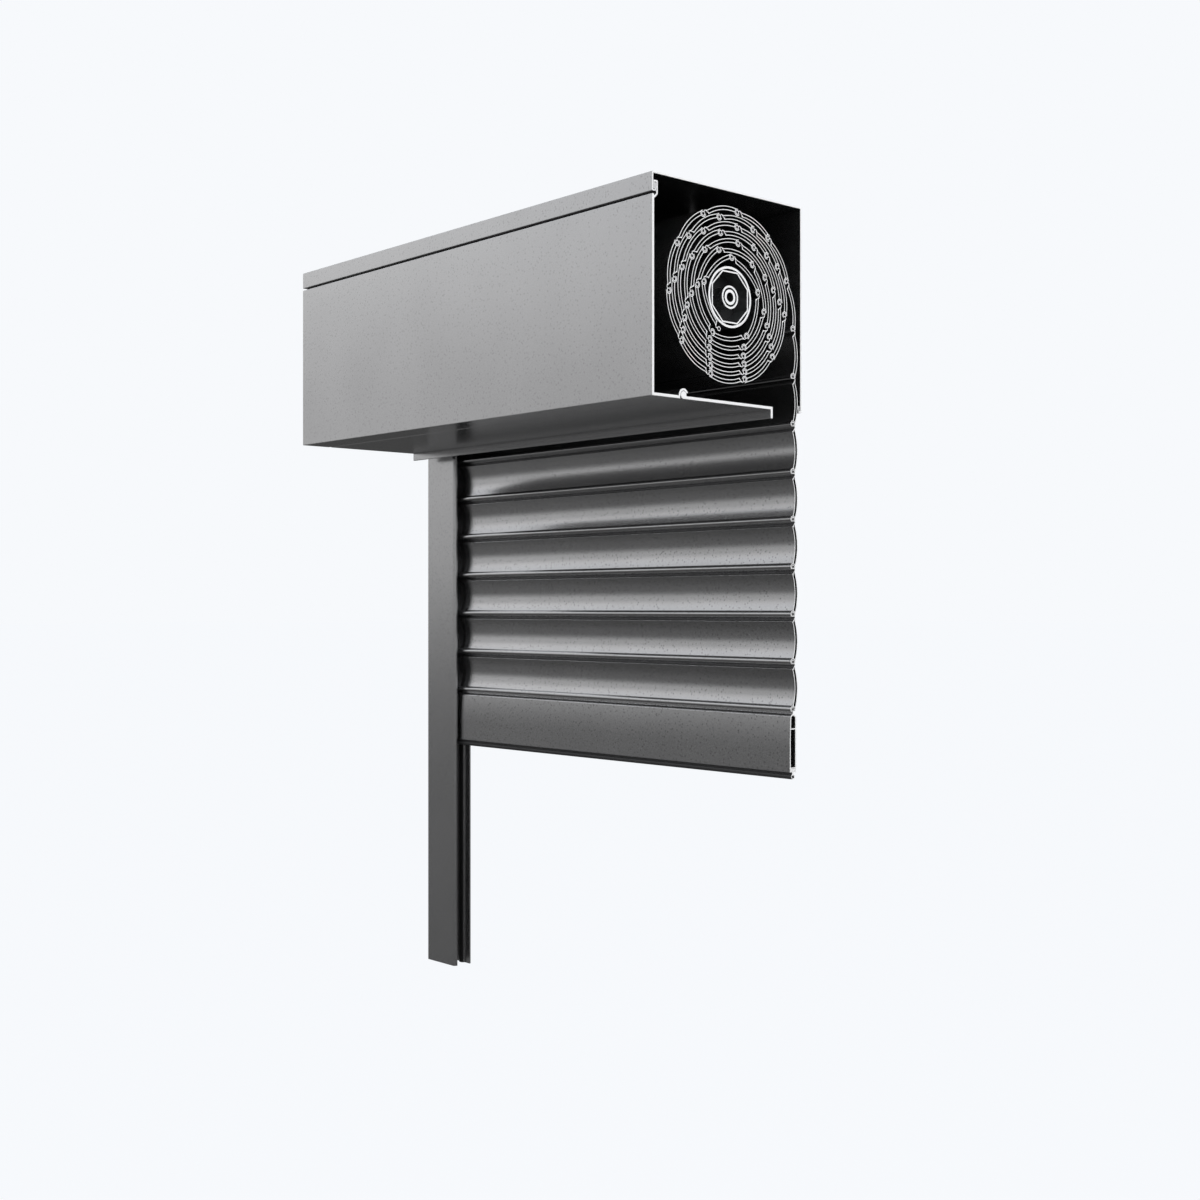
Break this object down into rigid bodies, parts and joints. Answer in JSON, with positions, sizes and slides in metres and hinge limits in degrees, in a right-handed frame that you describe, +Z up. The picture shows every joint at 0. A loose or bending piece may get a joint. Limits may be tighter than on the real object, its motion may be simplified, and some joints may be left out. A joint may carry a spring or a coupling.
{
  "type": "exterior roller shutter",
  "caption": "Front-mounted exterior roller shutter sample cut open at one end: square box, shaft with wound slats, hanging curtain, guide rail and hinged bottom flap.",
  "frame": {"origin": "centre of the box's rear wall, on the wall plane, at the height of the shaft", "axes": "+X along the shaft towards the cut end, +Y into the wall, +Z up"},
  "size_m": [0.4896, 0.165, 0.6806],
  "materials": {
    "coated_aluminium": "satin metallic grey coating",
    "coated_slat": "satin metallic grey coating",
    "bright_steel": "bright zinc plate",
    "galvanised_steel": "galvanised",
    "dark_plastic": "moulded, fine grain",
    "black_plastic": "moulded, matte",
    "black_rubber": "matte"
  },
  "bodies": {
    "box": {"box_shell": "coated_aluminium", "front_panel": "coated_aluminium", "end_cap": "coated_aluminium", "cap_rivets": "bright_steel", "motor_bracket": "galvanised_steel", "bracket_screws": "bright_steel", "motor_head": "dark_plastic", "motor_tube": "galvanised_steel", "cable_grommet": "black_rubber", "rail_base": "coated_aluminium", "rail_cover": "coated_aluminium", "rail_seal_front": "black_rubber", "rail_seal_rear": "black_rubber", "rail_inlet": "black_plastic"},
    "flap": {"bottom_flap": "coated_aluminium"},
    "roll": {"shaft_tube": "galvanised_steel", "winding_rings": "galvanised_steel", "crown_adapter": "dark_plastic", "motor_output": "bright_steel", "drive_wheel": "dark_plastic", "idler_capsule": "dark_plastic", "idler_sleeve": "bright_steel", "idler_pin": "bright_steel", "slat_hangers": "bright_steel", "hanger_screws": "bright_steel", "wound_slats_1": "coated_slat", "wound_slats_2": "coated_slat", "wound_slats_3": "coated_slat", "wound_slats_4": "coated_slat", "wound_slats_5": "coated_slat", "wound_slats_6": "coated_slat", "wound_end_locks": "black_plastic"},
    "lead": {"slat_01": "coated_slat", "lead_end_lock": "black_plastic"},
    "curtain": {"slat_02": "coated_slat", "slat_03": "coated_slat", "slat_04": "coated_slat", "slat_05": "coated_slat", "slat_06": "coated_slat", "slat_07": "coated_slat", "slat_08": "coated_slat", "slat_09": "coated_slat", "curtain_end_locks": "black_plastic", "end_slat": "coated_slat", "end_slat_seal": "black_rubber", "end_slat_plug": "black_plastic"}
  },
  "joints": [
    {"name": "shaft_turn", "type": "hinge", "parent": "box", "child": "roll", "pos_m": [0, -0.0825, 0], "axis": [1, 0, 0], "range_deg": [-15, 15]},
    {"name": "lead_slat", "type": "hinge", "parent": "roll", "child": "lead", "pos_m": [0, -0.01773, 0.02104], "axis": [1, 0, 0], "range_deg": [-7, 7]},
    {"name": "curtain_hang", "type": "hinge", "parent": "lead", "child": "curtain", "pos_m": [0, -0.01, -0.01616], "axis": [1, 0, 0], "range_deg": [-9, 9]},
    {"name": "flap_hinge", "type": "hinge", "parent": "box", "child": "flap", "pos_m": [0, -0.1325, -0.0796], "axis": [-1, 0, 0], "range_deg": [0, 80]}
  ],
  "couplings": [
    {"joint": "lead_slat", "follows": "shaft_turn", "ratio": -0.433},
    {"joint": "curtain_hang", "follows": "shaft_turn", "ratio": -0.567}
  ]
}
